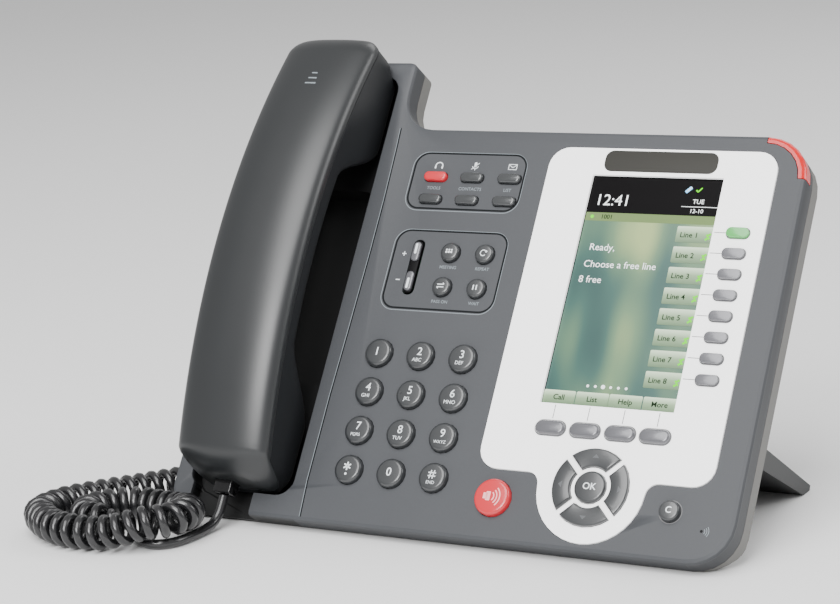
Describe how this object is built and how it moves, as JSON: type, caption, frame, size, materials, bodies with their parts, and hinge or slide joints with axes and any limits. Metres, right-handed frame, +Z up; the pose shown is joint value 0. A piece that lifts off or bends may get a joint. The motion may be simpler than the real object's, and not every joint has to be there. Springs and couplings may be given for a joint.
{
  "type": "desk ip phone",
  "caption": "Sloping desk phone with handset in a side cradle, curly cord, dial and function keys, tall colour display in a pale plate and a folding stand.",
  "frame": {"origin": "middle of the footprint of the phone without its cord, on the desk", "axes": "+X to the user's right, +Y away from the user, +Z up; the face slopes up at 55 degrees towards +Y"},
  "size_m": [0.2819, 0.1796, 0.1786],
  "materials": {
    "key_dark": "moulded satin key plastic",
    "key_silver": "silver-grey satin key plastic",
    "key_red": "lit red key",
    "key_green": "lit green key",
    "cover": "charcoal fine-textured housing",
    "shell": "black fine-textured housing",
    "bezel": "white satin plate",
    "display": "colour display with a picture",
    "board": "green circuit board",
    "lamp": "red translucent lamp",
    "metal": "plated metal",
    "handset": "satin charcoal housing",
    "cord": "black soft PVC",
    "plug": "clear moulded plug"
  },
  "bodies": {
    "console": {"top_cover": "cover", "bottom_shell": "shell", "bezel_plate": "bezel", "lcd_module": "display", "main_board": "board", "message_lamp": "lamp", "loudspeaker": "metal", "cord_curl": "cord", "cord_lead_base": "cord", "cord_lead_handset": "cord", "base_plug": "plug"},
    "handset": {"handset_outer_shell": "handset", "handset_inner_shell": "handset", "receiver_capsule": "metal", "transmitter_capsule": "metal", "handset_plug": "plug"},
    "hook": {"hook_switch": "cover"},
    "stand": {"stand": "cover"},
    "rocker": {"volume_rocker": "key_silver"},
    "key_1_body": {"key_1": "key_dark"},
    "key_2_body": {"key_2": "key_dark"},
    "key_3_body": {"key_3": "key_dark"},
    "key_4_body": {"key_4": "key_dark"},
    "key_5_body": {"key_5": "key_dark"},
    "key_6_body": {"key_6": "key_dark"},
    "key_7_body": {"key_7": "key_dark"},
    "key_8_body": {"key_8": "key_dark"},
    "key_9_body": {"key_9": "key_dark"},
    "key_star_body": {"key_star": "key_dark"},
    "key_0_body": {"key_0": "key_dark"},
    "key_hash_body": {"key_hash": "key_dark"},
    "key_headset_body": {"key_headset": "key_red"},
    "key_mute_body": {"key_mute": "key_silver"},
    "key_message_body": {"key_message": "key_silver"},
    "key_service_body": {"key_service": "key_silver"},
    "key_directory_body": {"key_directory": "key_silver"},
    "key_menu_body": {"key_menu": "key_silver"},
    "key_conference_body": {"key_conference": "key_dark"},
    "key_redial_body": {"key_redial": "key_dark"},
    "key_transfer_body": {"key_transfer": "key_dark"},
    "key_hold_body": {"key_hold": "key_dark"},
    "key_speaker_body": {"key_speaker": "key_red"},
    "key_cancel_body": {"key_cancel": "key_dark"},
    "line_key_1_body": {"line_key_1": "key_green"},
    "line_key_2_body": {"line_key_2": "key_silver"},
    "line_key_3_body": {"line_key_3": "key_silver"},
    "line_key_4_body": {"line_key_4": "key_silver"},
    "line_key_5_body": {"line_key_5": "key_silver"},
    "line_key_6_body": {"line_key_6": "key_silver"},
    "line_key_7_body": {"line_key_7": "key_silver"},
    "line_key_8_body": {"line_key_8": "key_silver"},
    "soft_key_1_body": {"soft_key_1": "key_silver"},
    "soft_key_2_body": {"soft_key_2": "key_silver"},
    "soft_key_3_body": {"soft_key_3": "key_silver"},
    "soft_key_4_body": {"soft_key_4": "key_silver"},
    "nav_up_body": {"nav_up": "key_dark"},
    "nav_right_body": {"nav_right": "key_dark"},
    "nav_down_body": {"nav_down": "key_dark"},
    "nav_left_body": {"nav_left": "key_dark"},
    "key_ok_body": {"key_ok": "key_dark"}
  },
  "joints": [
    {"name": "handset_lift", "type": "slide", "parent": "console", "child": "handset", "axis": [0, -0.8192, 0.5736], "range_m": [0, 0.06]},
    {"name": "hook_travel", "type": "slide", "parent": "console", "child": "hook", "axis": [0, -0.8192, 0.5736], "range_m": [0, 0.003]},
    {"name": "stand_fold", "type": "hinge", "parent": "console", "child": "stand", "pos_m": [0, 0.00543, 0.02393], "axis": [1, 0, 0], "range_deg": [-127, 0]},
    {"name": "volume_rock", "type": "hinge", "parent": "console", "child": "rocker", "pos_m": [-0.0352, 0.00567, 0.09139], "axis": [1, 0, 0], "range_deg": [-2.5, 2.5], "stiffness_Nm_per_rad": 0.2},
    {"name": "press_key_1", "type": "slide", "parent": "console", "child": "key_1_body", "axis": [0, 0.8192, -0.5736], "range_m": [0, 0.0009], "stiffness_N_per_m": 500, "springref_m": -0.001},
    {"name": "press_key_2", "type": "slide", "parent": "console", "child": "key_2_body", "axis": [0, 0.8192, -0.5736], "range_m": [0, 0.0009], "stiffness_N_per_m": 500, "springref_m": -0.001},
    {"name": "press_key_3", "type": "slide", "parent": "console", "child": "key_3_body", "axis": [0, 0.8192, -0.5736], "range_m": [0, 0.0009], "stiffness_N_per_m": 500, "springref_m": -0.001},
    {"name": "press_key_4", "type": "slide", "parent": "console", "child": "key_4_body", "axis": [0, 0.8192, -0.5736], "range_m": [0, 0.0009], "stiffness_N_per_m": 500, "springref_m": -0.001},
    {"name": "press_key_5", "type": "slide", "parent": "console", "child": "key_5_body", "axis": [0, 0.8192, -0.5736], "range_m": [0, 0.0009], "stiffness_N_per_m": 500, "springref_m": -0.001},
    {"name": "press_key_6", "type": "slide", "parent": "console", "child": "key_6_body", "axis": [0, 0.8192, -0.5736], "range_m": [0, 0.0009], "stiffness_N_per_m": 500, "springref_m": -0.001},
    {"name": "press_key_7", "type": "slide", "parent": "console", "child": "key_7_body", "axis": [0, 0.8192, -0.5736], "range_m": [0, 0.0009], "stiffness_N_per_m": 500, "springref_m": -0.001},
    {"name": "press_key_8", "type": "slide", "parent": "console", "child": "key_8_body", "axis": [0, 0.8192, -0.5736], "range_m": [0, 0.0009], "stiffness_N_per_m": 500, "springref_m": -0.001},
    {"name": "press_key_9", "type": "slide", "parent": "console", "child": "key_9_body", "axis": [0, 0.8192, -0.5736], "range_m": [0, 0.0009], "stiffness_N_per_m": 500, "springref_m": -0.001},
    {"name": "press_key_star", "type": "slide", "parent": "console", "child": "key_star_body", "axis": [0, 0.8192, -0.5736], "range_m": [0, 0.0009], "stiffness_N_per_m": 500, "springref_m": -0.001},
    {"name": "press_key_0", "type": "slide", "parent": "console", "child": "key_0_body", "axis": [0, 0.8192, -0.5736], "range_m": [0, 0.0009], "stiffness_N_per_m": 500, "springref_m": -0.001},
    {"name": "press_key_hash", "type": "slide", "parent": "console", "child": "key_hash_body", "axis": [0, 0.8192, -0.5736], "range_m": [0, 0.0009], "stiffness_N_per_m": 500, "springref_m": -0.001},
    {"name": "press_key_headset", "type": "slide", "parent": "console", "child": "key_headset_body", "axis": [0, 0.8192, -0.5736], "range_m": [0, 0.0009], "stiffness_N_per_m": 500, "springref_m": -0.001},
    {"name": "press_key_mute", "type": "slide", "parent": "console", "child": "key_mute_body", "axis": [0, 0.8192, -0.5736], "range_m": [0, 0.0009], "stiffness_N_per_m": 500, "springref_m": -0.001},
    {"name": "press_key_message", "type": "slide", "parent": "console", "child": "key_message_body", "axis": [0, 0.8192, -0.5736], "range_m": [0, 0.0009], "stiffness_N_per_m": 500, "springref_m": -0.001},
    {"name": "press_key_service", "type": "slide", "parent": "console", "child": "key_service_body", "axis": [0, 0.8192, -0.5736], "range_m": [0, 0.0009], "stiffness_N_per_m": 500, "springref_m": -0.001},
    {"name": "press_key_directory", "type": "slide", "parent": "console", "child": "key_directory_body", "axis": [0, 0.8192, -0.5736], "range_m": [0, 0.0009], "stiffness_N_per_m": 500, "springref_m": -0.001},
    {"name": "press_key_menu", "type": "slide", "parent": "console", "child": "key_menu_body", "axis": [0, 0.8192, -0.5736], "range_m": [0, 0.0009], "stiffness_N_per_m": 500, "springref_m": -0.001},
    {"name": "press_key_conference", "type": "slide", "parent": "console", "child": "key_conference_body", "axis": [0, 0.8192, -0.5736], "range_m": [0, 0.0009], "stiffness_N_per_m": 500, "springref_m": -0.001},
    {"name": "press_key_redial", "type": "slide", "parent": "console", "child": "key_redial_body", "axis": [0, 0.8192, -0.5736], "range_m": [0, 0.0009], "stiffness_N_per_m": 500, "springref_m": -0.001},
    {"name": "press_key_transfer", "type": "slide", "parent": "console", "child": "key_transfer_body", "axis": [0, 0.8192, -0.5736], "range_m": [0, 0.0009], "stiffness_N_per_m": 500, "springref_m": -0.001},
    {"name": "press_key_hold", "type": "slide", "parent": "console", "child": "key_hold_body", "axis": [0, 0.8192, -0.5736], "range_m": [0, 0.0009], "stiffness_N_per_m": 500, "springref_m": -0.001},
    {"name": "press_key_speaker", "type": "slide", "parent": "console", "child": "key_speaker_body", "axis": [0, 0.8192, -0.5736], "range_m": [0, 0.0009], "stiffness_N_per_m": 500, "springref_m": -0.001},
    {"name": "press_key_cancel", "type": "slide", "parent": "console", "child": "key_cancel_body", "axis": [0, 0.8192, -0.5736], "range_m": [0, 0.0009], "stiffness_N_per_m": 500, "springref_m": -0.001},
    {"name": "press_line_key_1", "type": "slide", "parent": "console", "child": "line_key_1_body", "axis": [0, 0.8192, -0.5736], "range_m": [0, 0.0009], "stiffness_N_per_m": 500, "springref_m": -0.001},
    {"name": "press_line_key_2", "type": "slide", "parent": "console", "child": "line_key_2_body", "axis": [0, 0.8192, -0.5736], "range_m": [0, 0.0009], "stiffness_N_per_m": 500, "springref_m": -0.001},
    {"name": "press_line_key_3", "type": "slide", "parent": "console", "child": "line_key_3_body", "axis": [0, 0.8192, -0.5736], "range_m": [0, 0.0009], "stiffness_N_per_m": 500, "springref_m": -0.001},
    {"name": "press_line_key_4", "type": "slide", "parent": "console", "child": "line_key_4_body", "axis": [0, 0.8192, -0.5736], "range_m": [0, 0.0009], "stiffness_N_per_m": 500, "springref_m": -0.001},
    {"name": "press_line_key_5", "type": "slide", "parent": "console", "child": "line_key_5_body", "axis": [0, 0.8192, -0.5736], "range_m": [0, 0.0009], "stiffness_N_per_m": 500, "springref_m": -0.001},
    {"name": "press_line_key_6", "type": "slide", "parent": "console", "child": "line_key_6_body", "axis": [0, 0.8192, -0.5736], "range_m": [0, 0.0009], "stiffness_N_per_m": 500, "springref_m": -0.001},
    {"name": "press_line_key_7", "type": "slide", "parent": "console", "child": "line_key_7_body", "axis": [0, 0.8192, -0.5736], "range_m": [0, 0.0009], "stiffness_N_per_m": 500, "springref_m": -0.001},
    {"name": "press_line_key_8", "type": "slide", "parent": "console", "child": "line_key_8_body", "axis": [0, 0.8192, -0.5736], "range_m": [0, 0.0009], "stiffness_N_per_m": 500, "springref_m": -0.001},
    {"name": "press_soft_key_1", "type": "slide", "parent": "console", "child": "soft_key_1_body", "axis": [0, 0.8192, -0.5736], "range_m": [0, 0.0009], "stiffness_N_per_m": 500, "springref_m": -0.001},
    {"name": "press_soft_key_2", "type": "slide", "parent": "console", "child": "soft_key_2_body", "axis": [0, 0.8192, -0.5736], "range_m": [0, 0.0009], "stiffness_N_per_m": 500, "springref_m": -0.001},
    {"name": "press_soft_key_3", "type": "slide", "parent": "console", "child": "soft_key_3_body", "axis": [0, 0.8192, -0.5736], "range_m": [0, 0.0009], "stiffness_N_per_m": 500, "springref_m": -0.001},
    {"name": "press_soft_key_4", "type": "slide", "parent": "console", "child": "soft_key_4_body", "axis": [0, 0.8192, -0.5736], "range_m": [0, 0.0009], "stiffness_N_per_m": 500, "springref_m": -0.001},
    {"name": "press_nav_up", "type": "slide", "parent": "console", "child": "nav_up_body", "axis": [0, 0.8192, -0.5736], "range_m": [0, 0.0009], "stiffness_N_per_m": 500, "springref_m": -0.001},
    {"name": "press_nav_right", "type": "slide", "parent": "console", "child": "nav_right_body", "axis": [0, 0.8192, -0.5736], "range_m": [0, 0.0009], "stiffness_N_per_m": 500, "springref_m": -0.001},
    {"name": "press_nav_down", "type": "slide", "parent": "console", "child": "nav_down_body", "axis": [0, 0.8192, -0.5736], "range_m": [0, 0.0009], "stiffness_N_per_m": 500, "springref_m": -0.001},
    {"name": "press_nav_left", "type": "slide", "parent": "console", "child": "nav_left_body", "axis": [0, 0.8192, -0.5736], "range_m": [0, 0.0009], "stiffness_N_per_m": 500, "springref_m": -0.001},
    {"name": "press_key_ok", "type": "slide", "parent": "console", "child": "key_ok_body", "axis": [0, 0.8192, -0.5736], "range_m": [0, 0.0009], "stiffness_N_per_m": 500, "springref_m": -0.001}
  ],
  "couplings": [
    {"joint": "hook_travel", "follows": "handset_lift", "ratio": 0.05}
  ]
}
